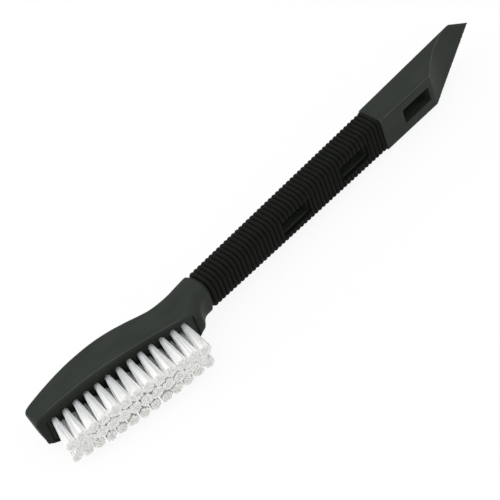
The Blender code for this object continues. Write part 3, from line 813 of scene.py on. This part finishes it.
def add_beads(obj):
    """A thin raised bead down the crease on either side of the head, and one on the scraper's near edge, in
    the lighter second material, which is a painted highlight.
    """
    shares = [between(BEAD_START_SHARE, BEAD_END_SHARE, i / BEAD_STEPS) for i in range(BEAD_STEPS + 1)]
    paths = [[crease_point(share, side) for share in shares] for side in (1, -1)] + [scraper_edge_path()]
    turns = [2 * math.pi * i / BEAD_SIDES for i in range(BEAD_SIDES)]
    bm = bmesh.new()
    bm.from_mesh(obj.data)
    faces = []
    for path in paths:
        rows = []
        for i, centre in enumerate(path):
            along = (path[min(i + 1, len(path) - 1)] - path[max(i - 1, 0)]).normalized()
            across = along.cross(Vector((0, 0, 1))).normalized()
            over = along.cross(across)
            radius = BEAD_RADIUS * min(1, (i + 1) / BEAD_TAPER_STEPS, (len(path) - i) / BEAD_TAPER_STEPS)
            ring = [centre + radius * (across * math.cos(t) + over * math.sin(t)) for t in turns]
            rows.append([bm.verts.new(point) for point in ring])
        faces += [bm.faces.new(rows[0]), bm.faces.new(rows[-1])]
        faces += skin(bm, rows)
    bmesh.ops.recalc_face_normals(bm, faces=faces)
    for face in faces:
        face.material_index = 1
    bm.to_mesh(obj.data)
    bm.free()


def make_handle(pieces, cutters):
    """The moulded handle in one piece, with its edges rounded as a mould leaves them."""
    rings = [scraper_section(x) for x in (SCRAPER_LENGTH + CUTTER_OVERRUN, BEVEL_START, 0)]
    rings += [core_section(x, 0, CORNER_STEPS) for x in (0, -GRIP_LENGTH)]
    rings.append(collar_edge_section())
    rings.append([point + Vector((COLLAR_EDGE_LENGTH, 0, 0)) for point in head_section(0)])
    rings += [head_section(NOSE_END_SHARE * i / HEAD_RINGS) for i in range(HEAD_RINGS + 1)]
    handle = put("handle", ring_mesh("handle", rings), pieces)
    cut(handle, tip_cutter(cutters))
    cut(handle, bevel_cutter(cutters))
    cut(handle, recess_cutter(cutters))
    cut(handle, groove_cutter(cutters))
    cut(handle, holes_cutter(cutters))
    pockets = (
        ("core_pocket_head", -HEAD_POCKET_PLACE),
        ("core_pocket_tail", -TAIL_POCKET_PLACE),
        ("scraper_pocket", SCRAPER_POCKET_PLACE),
    )
    for name, place in pockets:
        cut(handle, pocket_cutter(name, place, POCKET_FLOOR_PAST_MIDDLE, cutters))
    remesh = handle.modifiers.new("even_skin", "REMESH")
    remesh.mode = "VOXEL"
    remesh.voxel_size = HANDLE_VOXEL
    smooth = handle.modifiers.new("soft_edges", "SMOOTH")
    smooth.iterations = HANDLE_SMOOTHING_PASSES
    fewer = handle.modifiers.new("fewer_faces", "DECIMATE")
    fewer.ratio = HANDLE_KEPT_SHARE
    bake_modifiers(handle)
    add_beads(handle)
    handle.data.shade_smooth()
    handle.data.materials.append(plastic_material("moulded_grey_green", PLASTIC_DARK, PLASTIC_LIGHT))
    # The second material, lighter than the first, paints a highlight on the beads.
    handle.data.materials.append(plastic_material("grey_green_painted_highlight", BEAD_HIGHLIGHT_DARK, BEAD_HIGHLIGHT_LIGHT))
    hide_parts("handle_body")
    return handle


def rib_inset(step):
    """How far the sleeve lies under its crests: rounded crests with narrow grooves between."""
    return RIB_DEPTH * (1 - abs(math.sin(math.pi * step / RIB_STEPS)) ** RIB_ROUNDNESS)


def make_sleeve(pieces, cutters):
    rings = []
    last = RIB_COUNT * RIB_STEPS
    for step in range(last + 1):
        inset = rib_inset(step)
        x = -step * RIB_PITCH / RIB_STEPS
        x = min(max(x, -GRIP_LENGTH + FIT_GAP / 2), -FIT_GAP / 2)
        rings.append(
            grip_section(x, inset, GRIP_HEAD_CORNER - inset, GRIP_TAIL_CORNER - inset, SLEEVE_CORNER_STEPS)
        )
    sleeve = put("sleeve", ring_mesh("sleeve", rings), pieces)
    bore_rings = [
        core_section(x, FIT_GAP, SLEEVE_CORNER_STEPS) for x in (CUTTER_OVERRUN, -GRIP_LENGTH - CUTTER_OVERRUN)
    ]
    cut(sleeve, put("bore_cutter", ring_mesh("bore_cutter", bore_rings), cutters))
    for name, place in (("window_head", -HEAD_POCKET_PLACE), ("window_tail", -TAIL_POCKET_PLACE)):
        cut(sleeve, pocket_cutter(name, place, 0, cutters))
    bake_modifiers(sleeve)
    sleeve.data.shade_smooth()
    sleeve.data.set_sharp_from_angle(angle=SLEEVE_SHARP_ANGLE)
    sleeve.data.materials.append(rubber_material())
    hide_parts("grip_sleeve")
    return sleeve


def filament(bm, root, tip, bow, length):
    """One filament from under the floor to its cut tip, a tube that bows a little on its way."""
    rows = []
    for step in FILAMENT_STEPS:
        centre = root.lerp(tip, step) + bow * (4 * max(step, 0) * (1 - step))
        centre.z = length * step
        radius = FILAMENT_RADIUS * (FILAMENT_END_SHARE if step == FILAMENT_STEPS[-1] else 1)
        ring = [circle_point(centre, radius, side, FILAMENT_SIDES) for side in range(FILAMENT_SIDES)]
        rows.append([bm.verts.new(point) for point in ring])
    skin(bm, rows)
    bm.faces.new(reversed(rows[0]))
    bm.faces.new(rows[-1])


def bundle(bm, chance, length, lean, tip_spread):
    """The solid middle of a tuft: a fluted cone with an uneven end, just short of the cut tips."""
    flutes = [chance.uniform(-1, 1) for _ in range(BUNDLE_SIDES)]
    rows = []
    for step, fill in BUNDLE_STEPS:
        spread = between(1, tip_spread, max(step, 0))
        centre = Vector((length * step * lean, 0, length * step))
        relief = between(BUNDLE_RELIEF, BUNDLE_RELIEF_AT_TIPS, max(step, 0) ** 2)
        row = []
        for side, flute in enumerate(flutes):
            radius = TUFT_RADIUS * BUNDLE_FILL_SHARE * fill * spread * (1 + relief * flute)
            row.append(bm.verts.new(circle_point(centre, radius, side, BUNDLE_SIDES)))
        rows.append(row)
    for share in BUNDLE_END_SHARES:
        uneven = [Vector((0, 0, chance.uniform(-BUNDLE_END_JITTER, BUNDLE_END_JITTER))) for _ in flutes]
        rows.append([bm.verts.new(centre.lerp(v.co, share) + up) for v, up in zip(row, uneven)])
    skin(bm, rows)
    bm.faces.new(reversed(rows[0]))
    bm.faces.new(rows[-1])


def tuft_mesh(name, chance, nose_share, tip_spread):
    bm = bmesh.new()
    length = between(STRAND_LENGTH_AT_HEEL, STRAND_LENGTH_AT_NOSE, nose_share)
    lean = math.tan(between(LEAN_AT_HEEL, LEAN_AT_NOSE, nose_share))
    bundle(bm, chance, length, lean, tip_spread)
    for i in range(FILAMENTS_PER_TUFT):
        radius = TUFT_RADIUS * ROOT_FILL_SHARE * math.sqrt((i + 0.5) / FILAMENTS_PER_TUFT)
        angle = i * GOLDEN_ANGLE
        root = Vector((radius * math.cos(angle), radius * math.sin(angle), 0))
        own_length = length + chance.uniform(-LENGTH_JITTER, LENGTH_JITTER)
        tip = root * tip_spread + Vector((own_length * lean, 0, own_length))
        tip += Vector((chance.gauss(0, TIP_JITTER), chance.gauss(0, TIP_JITTER), 0))
        bow = Vector((chance.uniform(-BOW, BOW), chance.uniform(-BOW, BOW), 0))
        filament(bm, root, tip, bow, own_length)
    mesh = finished_mesh(name, bm)
    mesh.shade_smooth()
    mesh.set_sharp_from_angle(angle=TUFT_SHARP_ANGLE)
    return mesh


def make_tufts(pieces):
    white = nylon_material()
    axes = tuft_axes()
    chance = random.Random(BRISTLE_SEED)
    tufts = []
    for node, foot in tuft_places():
        name = node.replace("tuft", "bristles")
        nose_share = (COLLAR_PLACE - foot.x) / HEAD_LENGTH
        tip_spread = TIP_SPREAD_SHARES[node.split("_")[1]]
        tuft = put(name, tuft_mesh(name, chance, nose_share, tip_spread), pieces)
        tuft.data.materials.append(white)
        tuft.location = foot
        tuft.rotation_euler = axes.to_euler()
        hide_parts(node)
        tufts.append(tuft)
    return tufts


def new_collection(name, parent):
    made = bpy.data.collections.new(name)
    parent.children.link(made)
    return made


def make_floor(level):
    """A white floor that glows to the camera, yet keeps the brush's shadow."""
    bpy.ops.mesh.primitive_plane_add(size=2 * FLOOR_HALF_SIZE, location=(0, 0, level))
    floor = bpy.context.object
    floor.name = "studio_floor"
    made = bpy.data.materials.new("studio_white")
    made.use_nodes = True
    tree = made.node_tree
    tree.nodes.clear()
    output = tree.nodes.new("ShaderNodeOutputMaterial")
    paper = tree.nodes.new("ShaderNodeBsdfDiffuse")
    paper.inputs["Color"].default_value = FLOOR_WHITE
    glow = tree.nodes.new("ShaderNodeEmission")
    glow.inputs["Strength"].default_value = 1.0
    mix = tree.nodes.new("ShaderNodeMixShader")
    tree.links.new(seen_directly(tree, FLOOR_GLOW_SHARE), mix.inputs["Fac"])
    tree.links.new(paper.outputs["BSDF"], mix.inputs[1])
    tree.links.new(glow.outputs["Emission"], mix.inputs[2])
    tree.links.new(mix.outputs["Shader"], output.inputs["Surface"])
    floor.data.materials.append(made)


def seen_directly(tree, share):
    """The share where a ray comes from the camera or is a mirrored or passing one, else zero."""
    path = tree.nodes.new("ShaderNodeLightPath")
    total = path.outputs["Is Camera Ray"]
    for name in ("Is Glossy Ray", "Is Transmission Ray"):
        add = tree.nodes.new("ShaderNodeMath")
        add.operation = "MAXIMUM"
        tree.links.new(total, add.inputs[0])
        tree.links.new(path.outputs[name], add.inputs[1])
        total = add.outputs["Value"]
    scaled = tree.nodes.new("ShaderNodeMath")
    scaled.operation = "MULTIPLY"
    scaled.inputs[1].default_value = share
    tree.links.new(total, scaled.inputs[0])
    return scaled.outputs["Value"]


def make_world():
    """White to the camera and to mirrored rays, and a little weaker as the light that fills the shade."""
    world = bpy.data.worlds.new("studio_world")
    world.use_nodes = True
    tree = world.node_tree
    background = tree.nodes["Background"]
    background.inputs["Color"].default_value = (1, 1, 1, 1)
    mapped = tree.nodes.new("ShaderNodeMapRange")
    mapped.inputs["To Min"].default_value = WORLD_FILL
    mapped.inputs["To Max"].default_value = 1.0
    tree.links.new(seen_directly(tree, 1.0), mapped.inputs["Value"])
    tree.links.new(mapped.outputs["Result"], background.inputs["Strength"])
    bpy.context.scene.world = world


def add_lamp(name, place, size, power):
    lamp = bpy.data.lights.new(name, "AREA")
    lamp.shape = "SQUARE"
    lamp.size = size
    lamp.energy = power
    obj = bpy.data.objects.new(name, lamp)
    obj.location = place
    obj.rotation_euler = (-place).to_track_quat("-Z", "Y").to_euler()
    bpy.context.scene.collection.objects.link(obj)


def make_camera():
    data = bpy.data.cameras.new("photo_camera")
    data.sensor_width = SENSOR
    data.lens = LENS
    data.shift_x = -HALF_PIXEL_SHIFT
    data.shift_y = HALF_PIXEL_SHIFT
    data.clip_start = CLIP_START
    camera = bpy.data.objects.new("photo_camera", data)
    backward = CAMERA_RIGHT.cross(CAMERA_UP)
    turn = Matrix((CAMERA_RIGHT, CAMERA_UP, backward)).transposed()
    camera.matrix_world = Matrix.Translation(CAMERA_PLACE) @ turn.to_4x4()
    bpy.context.scene.collection.objects.link(camera)
    bpy.context.scene.camera = camera


def handle_origin():
    """Where the grip ends at the scraper, on its middle line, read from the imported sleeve."""
    low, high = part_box("grip_sleeve")
    return Vector((high.x + FIT_GAP, (low.y + high.y) / 2, (low.z + high.z) / 2))


def main():
    scene = bpy.context.scene
    scene.view_settings.view_transform = "Standard"
    pieces = new_collection("brush_looks", scene.collection)
    cutters = new_collection("brush_cutters", scene.collection)
    made = [make_handle(pieces, cutters), make_sleeve(pieces, cutters)] + make_tufts(pieces)
    origin = handle_origin()
    for piece in made:
        piece.location += origin
        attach(piece, "root")
    for cutter in list(cutters.objects):
        bpy.data.objects.remove(cutter)
    bpy.data.collections.remove(cutters)
    make_floor(cad_box[0].z)
    make_world()
    add_lamp("key_lamp", KEY_PLACE, KEY_SIZE, KEY_POWER)
    add_lamp("side_lamp", SIDE_PLACE, SIDE_SIZE, SIDE_POWER)
    make_camera()


main()
